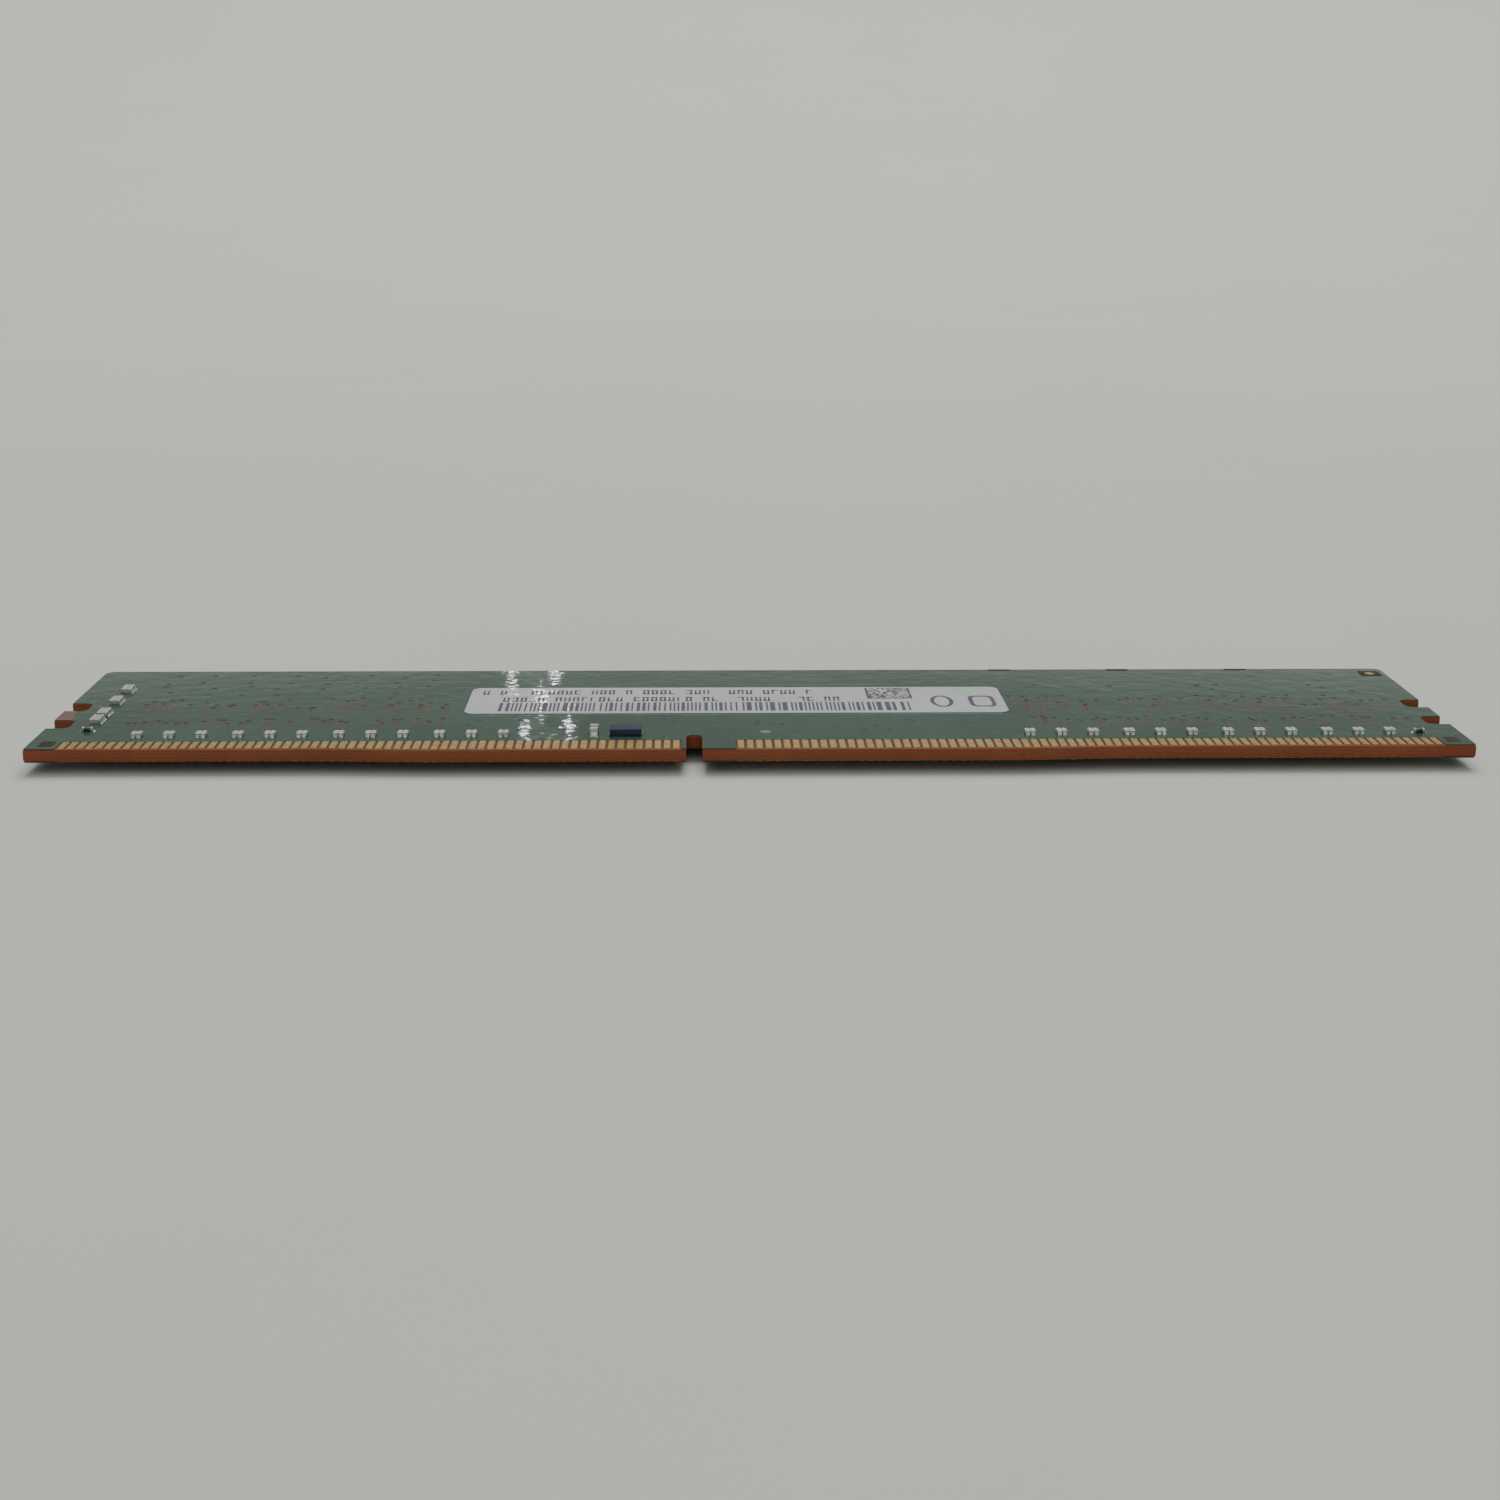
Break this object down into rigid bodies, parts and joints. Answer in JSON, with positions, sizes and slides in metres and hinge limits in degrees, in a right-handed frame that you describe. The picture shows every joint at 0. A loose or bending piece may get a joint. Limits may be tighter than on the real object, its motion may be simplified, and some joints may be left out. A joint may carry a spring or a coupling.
{
  "type": "memory module",
  "caption": "Unbuffered desktop memory module: bare board with stepped gold contact edge, key slot, latch notches, flat memory chips below and small arrays and a label above.",
  "frame": {"origin": "middle of the module's footprint, on the plane that the memory chips rest on", "axes": "+X along the board's length; -Y towards the contact edge; +Z out of the label side, through the board's thickness"},
  "size_m": [0.1334, 0.0312, 0.0032],
  "materials": {
    "laminate": "bare glass-epoxy edge, warm brown, fine layers",
    "solder_mask": "grey-green lacquer over copper traces, satin gloss",
    "contact_gold": "thin hard gold plating, satin, faint wipe marks",
    "mould_compound": "black epoxy moulding, fine matte grain",
    "solder": "reflowed solder, smooth and slightly dull",
    "resistor_ceramic": "pale grey ceramic with tinned terminals",
    "resistor_glaze": "black resistor glaze between tinned ends",
    "data_chip_mould": "dark blue-black moulding, polished",
    "capacitor_ceramic": "tan ceramic between tinned ends",
    "label_paper": null
  },
  "bodies": {
    "root": {"laminate_board": "laminate", "solder_mask_label_side": "solder_mask", "solder_mask_chip_side": "solder_mask", "contacts_label_side_left": "contact_gold", "contacts_label_side_right": "contact_gold", "contacts_chip_side_left": "contact_gold", "contacts_chip_side_right": "contact_gold", "memory_chip_1": "mould_compound", "memory_chip_2": "mould_compound", "memory_chip_3": "mould_compound", "memory_chip_4": "mould_compound", "memory_chip_5": "mould_compound", "memory_chip_6": "mould_compound", "memory_chip_7": "mould_compound", "memory_chip_8": "mould_compound", "memory_chip_solder_1": "solder", "memory_chip_solder_2": "solder", "memory_chip_solder_3": "solder", "memory_chip_solder_4": "solder", "memory_chip_solder_5": "solder", "memory_chip_solder_6": "solder", "memory_chip_solder_7": "solder", "memory_chip_solder_8": "solder", "lane_array_left_01": "resistor_ceramic", "lane_array_left_02": "resistor_ceramic", "lane_array_left_03": "resistor_ceramic", "lane_array_left_04": "resistor_ceramic", "lane_array_left_05": "resistor_ceramic", "lane_array_left_06": "resistor_ceramic", "lane_array_left_07": "resistor_ceramic", "lane_array_left_08": "resistor_ceramic", "lane_array_left_09": "resistor_ceramic", "lane_array_left_10": "resistor_ceramic", "lane_array_left_11": "resistor_ceramic", "lane_array_left_12": "resistor_ceramic", "lane_array_right_01": "resistor_ceramic", "lane_array_right_02": "resistor_ceramic", "lane_array_right_03": "resistor_ceramic", "lane_array_right_04": "resistor_ceramic", "lane_array_right_05": "resistor_ceramic", "lane_array_right_06": "resistor_ceramic", "lane_array_right_07": "resistor_ceramic", "lane_array_right_08": "resistor_ceramic", "lane_array_right_09": "resistor_ceramic", "lane_array_right_10": "resistor_ceramic", "lane_array_right_11": "resistor_ceramic", "lane_array_right_12": "resistor_ceramic", "end_array_1": "resistor_ceramic", "end_array_2": "resistor_ceramic", "end_array_3": "resistor_ceramic", "end_array_4": "resistor_ceramic", "end_resistor_left": "resistor_glaze", "end_resistor_right": "resistor_glaze", "data_chip": "data_chip_mould", "data_chip_capacitor": "capacitor_ceramic", "bulk_capacitor_1": "capacitor_ceramic", "bulk_capacitor_2": "capacitor_ceramic", "bulk_capacitor_3": "capacitor_ceramic", "bulk_capacitor_4": "capacitor_ceramic", "label": "label_paper"}
  },
  "joints": []
}
